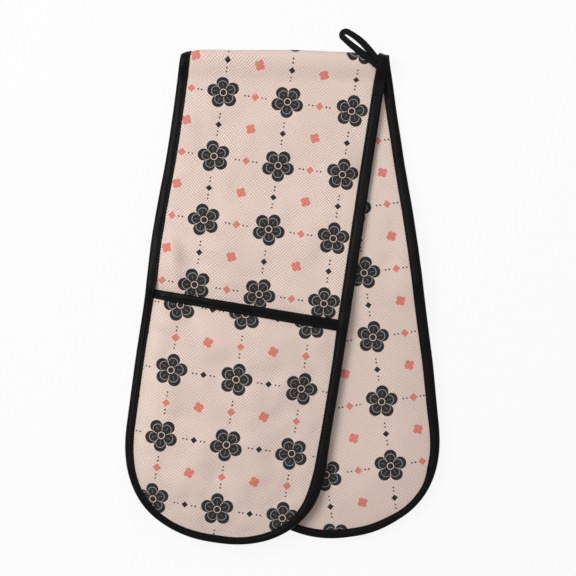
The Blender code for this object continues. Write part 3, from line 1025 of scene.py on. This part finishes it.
for half in sides:
    loops, flats, top_line, under_line = [], [], [], []
    travelled = 0.0
    for station, edge in way_round(strip_stations(half), (-1, 1)):
        outline, seam = edge_tape_outline(half, station, edge, edge_run(half, station))
        loop = [place(half, *flat_point(half, station, inset, edge), out) for inset, out in outline]
        travelled += (loop[seam_on_top] - loops[-1][seam_on_top]).length if loops else 0.0
        loops.append(loop)
        flats.append([(0, travelled / MM, girth) for girth in tape_girth(outline)])
        across, along = flat_point(half, station, seam, edge)
        for line, spot, sense in ((top_line, seam_on_top, 1), (under_line, seam_below, -1)):
            point = place(half, across, along, outline[spot][1])
            line.append((point, up_at(half, across, along, sense)))
    nodes = (f"{half}_edge_binding", "fold_binding_left", "fold_binding_right")
    tape = finish_piece(f"{half}_edge_tape", loft(loops, flats), tape_material, nodes)
    bend_at_fold(tape, half)
    stitches = stitch_rows(f"{half}_edge_stitches", [top_line, under_line])
    bend_at_fold(stitches, half)


# Loop's tape end. The end of the edge tape, sewn down over the binding from the fold to a straight cut,
# over both ends of the hanging loop.
tail_start = 1.4 * MM
tail_end = 40.3 * MM
tail_width = 9.3 * MM
tail_thickness = 1.2 * MM
tail_thin_start = 0.5 * MM
tail_low = full_half + layer_gap
loop_root_distance = 11.2 * MM
tail_steps = 40
tail_columns = 16
loop_bulge = 1.25 * MM
bulge_reach = 7.0 * MM
bulge_start = 1.5 * MM
tail_ease = 5.0 * MM
tail_hem_rise = 0.16 * MM
tail_edge_drop = 0.55 * MM
tail_rumple = 0.16 * MM
tail_rumple_size = 3.0 * MM
tail_first_inset = 0.1 * MM
tail_cut_wander = 0.5 * MM
tail_seam_inset = 1.6 * MM
tail_seam_start = 6.0 * MM
tail_seam_end = tail_end - 2.2 * MM
tail_seam_steps = 8


def tail_levels(inset, from_fold):
    """Heights under and over the tape end, which rises over the loop's ends and its own folded edges."""
    over_loop = math.exp(-(((from_fold - loop_root_distance) / bulge_reach) ** 2))
    under = tail_low + loop_bulge * over_loop * smooth((inset - bulge_start) / tail_ease)
    thickness = mix(tail_thin_start, tail_thickness, smooth((from_fold - tail_start) / tail_ease))
    hem = abs(2 * inset / tail_width - 1)
    ridge = tail_hem_rise * smooth((hem - 0.4) / 0.2) - tail_edge_drop * max(hem * 5 - 4, 0.0) ** 2
    rumple = tail_rumple * cloud(inset, from_fold / 3, tail_rumple_size, 6.6)
    return under, under + thickness + ridge + rumple


def tail_spot(inset, from_fold):
    """Across and along the strip at a place on the tape end."""
    return flat_point("front", ("side", from_fold / math.cos(fan_angle)), inset, 1)


def tail_stitch(inset, from_fold):
    """A point on a row of stitches over the tape end, and the way up from it."""
    spot = tail_spot(inset, from_fold)
    return place("front", *spot, tail_levels(inset, from_fold)[1]), up_at("front", *spot, 1)


loops, flats, tail_lines = [], [], [[], [], []]
for i in range(tail_steps + 1):
    from_fold = mix(tail_start, tail_end, i / tail_steps)
    over, under, over_flat, under_flat = [], [], [], []
    for k in range(tail_columns + 1):
        inset = mix(tail_first_inset, tail_width, k / tail_columns)
        cut = tail_cut_wander * noise.noise(Vector((k / 2.3, 0.0, 9.1))) * (i == tail_steps)
        spot = tail_spot(inset, from_fold + cut)
        low, high = tail_levels(inset, from_fold)
        over.append(place("front", *spot, high))
        under.append(place("front", *spot, low))
        over_flat.append((0, from_fold / MM, inset / MM))
        under_flat.append((0, from_fold / MM, (2 * tail_width - inset) / MM))
    loops.append(over + under[::-1])
    flats.append(over_flat + under_flat[::-1])
    if from_fold > tail_seam_start:
        for line, inset in zip(tail_lines, (tail_seam_inset, tail_width - tail_seam_inset)):
            line.append(tail_stitch(inset, from_fold))
for k in range(tail_seam_steps + 1):
    inset = mix(tail_seam_inset, tail_width - tail_seam_inset, k / tail_seam_steps)
    tail_lines[2].append(tail_stitch(inset, tail_seam_end))
nodes = ("loop_tape_end",)
tail = finish_piece("loop_tape_end_cloth", loft(loops, flats), tape_material, nodes)
bend_at_fold(tail, "front")
bend_at_fold(stitch_rows("loop_tape_end_stitches", tail_lines), "front")


# Hanging loop. The same tape folded lengthwise and stitched, turned back on itself so that it leans
# out over the fold, with both ends under the tape end.
loop_root_width = 5.0 * MM
loop_leg_width = 6.1 * MM
loop_bight_width = 5.2 * MM
loop_tape_thickness = 1.9 * MM
loop_length = 38.0 * MM
loop_slit_start = 0.31
loop_slit = 2.3 * MM
loop_bow = 1.0 * MM
loop_rise = 1.6 * MM
loop_lean = math.radians(140.0)
loop_tuck = 5.5 * MM
loop_axis = Vector(joints["loop_swing"]["pos_m"])
loop_leg_steps = 26
loop_bight_steps = 18
loop_outline_steps = 28
loop_seam_aside = 0.1
loop_seam_height = 0.31
loop_seam_width = 0.55 * MM
loop_wander = 0.12 * MM
loop_wander_size = 5.0 * MM


def loop_width(share):
    gathered = mix(loop_root_width, loop_leg_width, smooth(share / 0.33))
    return mix(gathered, loop_bight_width, smooth((share - 0.35) / 0.6))


def loop_spread(share):
    """Half the distance between the two legs, which touch each other near the sewn ends."""
    opening = min(max((share - loop_slit_start) / 0.75, 0.0), 1.0)
    return (loop_width(share) + loop_slit * math.sin(math.pi * opening)) / 2


def loop_line():
    """Middle line of the looped tape, from one sewn end round the bight to the other."""
    lead = Vector((math.cos(loop_lean), math.sin(loop_lean), 0.0))
    side = Vector((math.sin(loop_lean), -math.cos(loop_lean), 0.0))
    bight_radius = loop_spread(0.92)
    leg = loop_length - bight_radius
    legs = []
    for i in range(loop_leg_steps):
        ahead = mix(-loop_tuck, leg, i / loop_leg_steps)
        legs.append((ahead, loop_spread(ahead / loop_length)))
    bight = []
    for i in range(loop_bight_steps + 1):
        turn = math.pi * i / loop_bight_steps
        bight.append((leg + bight_radius * math.sin(turn), bight_radius * math.cos(turn)))
    points = []
    for ahead, spread in legs + bight + [(ahead, -spread) for ahead, spread in reversed(legs)]:
        share = max(ahead / loop_length, 0)
        bow = loop_bow * math.sin(math.pi * share)
        rise = Vector((0.0, 0.0, loop_rise * smooth(share)))
        points.append((loop_axis + lead * ahead + side * (spread + bow) + rise, ahead / loop_length))
    return points


def loop_section(share):
    """Across and up of the folded tape's outline, flatter where it is tucked under the tape end."""
    half_flat = loop_width(share) / 2
    half_thick = loop_tape_thickness / 2 * mix(0.6, 1.0, smooth(share / 0.12 + 0.6))
    outline = []
    for k in range(loop_outline_steps):
        turn = 2 * math.pi * k / loop_outline_steps
        flat_way, thick_way = math.cos(turn), math.sin(turn)
        across = half_flat * math.copysign(abs(flat_way) ** 0.62, flat_way)
        up = half_thick * math.copysign(abs(thick_way) ** 0.7, thick_way)
        seam = math.exp(-(((across + half_flat * loop_seam_aside) / loop_seam_width) ** 2))
        outline.append((across, up * (1 - 0.34 * seam)))
    return outline


points = loop_line()
loops, flats, loop_stitch_line = [], [], []
travelled = 0.0
for i, (point, share) in enumerate(points):
    before, after = points[max(i - 1, 0)][0], points[min(i + 1, len(points) - 1)][0]
    way = (after - before).normalized()
    level = way.cross(Vector((0.0, 0.0, 1.0))).normalized()
    up = level.cross(way)
    travelled += (point - before).length
    outline = loop_section(share)
    wander = loop_wander * noise.noise(Vector((travelled / loop_wander_size, 0.3, 1.7)))
    loops.append([point + level * across + up * (out + wander) for across, out in outline])
    flats.append([(0, travelled / MM, girth) for girth in tape_girth(outline)])
    if share > 0.05:
        half_flat = max(across for across, _ in outline)
        aside = level * half_flat * loop_seam_aside
        seam_point = point - aside + up * (loop_tape_thickness * loop_seam_height + wander)
        loop_stitch_line.append((seam_point, up))
nodes = ("hanging_loop",)
loop = finish_piece("hanging_loop_tape", loft(loops, flats), tape_material, nodes)
loop_stitches = stitch_rows("hanging_loop_stitches", [loop_stitch_line])
for piece in (loop, loop_stitches):
    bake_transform(piece)


# Floor, light and camera. The glove lies on a plain pale floor in an even pale surround, under a large
# soft lamp from the left and a weaker one from beyond the fold, and the camera looks straight down on it.
floor_material, shader = new_material("pale_floor", 0.9, 0.0, 0.0)
wire(shader.inputs["Base Color"], (0.78, 0.78, 0.78))
tree = floor_material.node_tree


def seen_share(tree, share):
    """A share for rays from the camera, or mirrored or let through to it, and 0 for all others."""
    rays = tree.nodes.new("ShaderNodeLightPath")
    seen = maths("MAXIMUM", rays.outputs["Is Camera Ray"], rays.outputs["Is Glossy Ray"])
    return times(maths("MAXIMUM", seen, rays.outputs["Is Transmission Ray"]), share)


glow = tree.nodes.new("ShaderNodeEmission")
inputs = {"Fac": seen_share(tree, 0.9), 1: shader.outputs[0], 2: glow.outputs[0]}
shown = new_node("ShaderNodeMixShader", inputs)
wire(tree.nodes["Material Output"].inputs["Surface"], shown.outputs[0])

floor_half_width = 3.0
floor_mesh = bpy.data.meshes.new("floor")
corners = [(x * floor_half_width, y * floor_half_width, 0.0) for x, y in ((-1, -1), (1, -1), (1, 1), (-1, 1))]
floor_mesh.from_pydata(corners, [], [(0, 1, 2, 3)])
floor_mesh.materials.append(floor_material)
floor = put_in_scene("floor", floor_mesh)
floor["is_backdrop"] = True

world = bpy.data.worlds.new("pale_surround")
bpy.context.scene.world = world
world.use_nodes = True
tree = world.node_tree
around = tree.nodes["Background"]
surround_level = 0.25
wire(around.inputs["Color"], (1.0, 1.0, 1.0))
wire(around.inputs["Strength"], maths("MAXIMUM", seen_share(tree, 1.0), surround_level))

lamps = (
    {"name": "left_softbox", "spot": (-1.00, 0.50, 1.45), "width": 0.9, "power": 23.7},
    {"name": "top_softbox", "spot": (0.30, 0.60, 1.40), "width": 1.1, "power": 5.2},
)
for lamp in lamps:
    light = bpy.data.lights.new(lamp["name"], "AREA")
    light.size = lamp["width"]
    light.energy = lamp["power"]
    softbox = put_in_scene(lamp["name"], light)
    softbox.location = lamp["spot"]
    softbox.rotation_euler = (-softbox.location).to_track_quat("-Z", "Y").to_euler()
    softbox.visible_camera = False

camera_data = bpy.data.cameras.new("camera")
camera_data.sensor_width = 36.0
camera_data.lens = 82.65
camera = put_in_scene("camera", camera_data)
camera.location = (0.00397, -0.00185, 1.176)
camera.rotation_euler = (0.0, 0.0, math.radians(0.25))
bpy.context.scene.camera = camera
bpy.context.scene.view_settings.view_transform = "Standard"

low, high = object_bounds()
